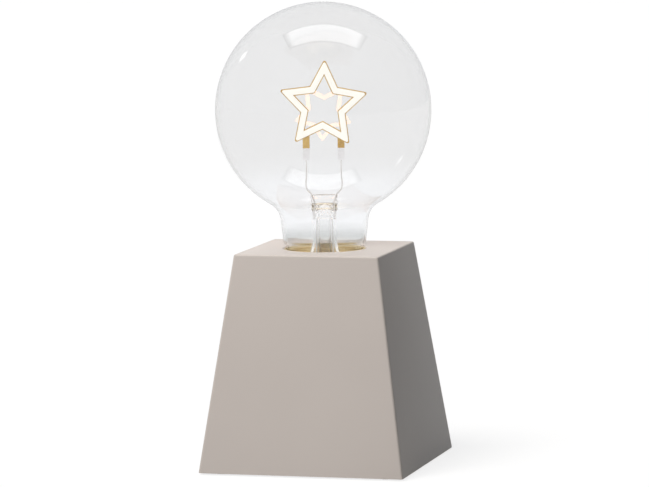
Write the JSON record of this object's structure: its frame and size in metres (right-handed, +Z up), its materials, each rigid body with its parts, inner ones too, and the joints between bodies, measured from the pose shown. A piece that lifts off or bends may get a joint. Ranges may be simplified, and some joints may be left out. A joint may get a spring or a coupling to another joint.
{
  "type": "battery table lamp",
  "caption": "Small cordless table lamp: tapered square base, clear globe bulb fixed in a gold collar, star-shaped glowing filament inside, battery door and switch underneath.",
  "frame": {"origin": "middle of the underside, on the plane that the foot pads stand on", "axes": "+Z up, -Y is the front of the base, +X to the right seen from the front"},
  "size_m": [0.1032, 0.1032, 0.2213],
  "materials": {
    "housing_plastic": "satin greige moulding",
    "gold_metal": "pale gold, polished",
    "clear_glass": "clear blown glass",
    "cement": "dull cement",
    "wire_metal": "nickel wire",
    "lug_metal": "tinned strip",
    "glowing_layer": "glowing phosphor in silicone",
    "led_die": "small chips",
    "dark_plastic": "dark moulding",
    "disc_board": "insulating disc",
    "foot_rubber": "soft pads",
    "screw_steel": "plated screws",
    "cell_jacket": "plain cell jacket",
    "contact_metal": "nickelled strip",
    "board_laminate": "green laminate",
    "chip_plastic": "moulded black",
    "crystal_can": "drawn can",
    "capacitor_can": "sleeved can",
    "switch_plastic": "moulded black",
    "red_lead": "insulated stranded wire",
    "black_lead": "insulated stranded wire"
  },
  "bodies": {
    "base": {"base_shell": "housing_plastic", "bulb_collar": "gold_metal", "star_plate": "gold_metal", "bulb_glass": "clear_glass", "glass_stem": "clear_glass", "exhaust_tube": "clear_glass", "neck_cement": "cement", "support_wire_left": "wire_metal", "support_wire_right": "wire_metal", "terminal_lug_left": "lug_metal", "terminal_lug_right": "lug_metal", "star_phosphor_front": "glowing_layer", "star_phosphor_back": "glowing_layer", "led_chips": "led_die", "bottom_plate": "dark_plastic", "clamp_ring": "dark_plastic", "lead_disc": "disc_board", "foot_pads": "foot_rubber", "plate_screws": "screw_steel", "clamp_screws": "screw_steel", "board_screws": "screw_steel", "aa_cell_1": "cell_jacket", "aa_cell_2": "cell_jacket", "aa_cell_3": "cell_jacket", "contact_positive": "contact_metal", "contact_negative": "contact_metal", "contact_bridge_1": "contact_metal", "contact_bridge_2": "contact_metal", "circuit_board": "board_laminate", "timer_chip": "chip_plastic", "driver_transistor": "chip_plastic", "board_resistors": "chip_plastic", "timing_crystal": "crystal_can", "board_capacitor": "capacitor_can", "switch_body": "switch_plastic", "battery_lead_red": "red_lead", "bulb_lead_red": "red_lead", "battery_lead_black": "black_lead", "bulb_lead_black": "black_lead"},
    "battery_door": {"battery_door": "dark_plastic"},
    "switch_slider": {"switch_slider": "switch_plastic"}
  },
  "joints": [
    {"name": "door_hinge", "type": "hinge", "parent": "base", "child": "battery_door", "pos_m": [0, -0.04165, 0.0014], "axis": [-1, 0, 0], "range_deg": [0, 50]},
    {"name": "switch_slide", "type": "slide", "parent": "base", "child": "switch_slider", "axis": [-1, 0, 0], "range_m": [0, 0.004]}
  ]
}
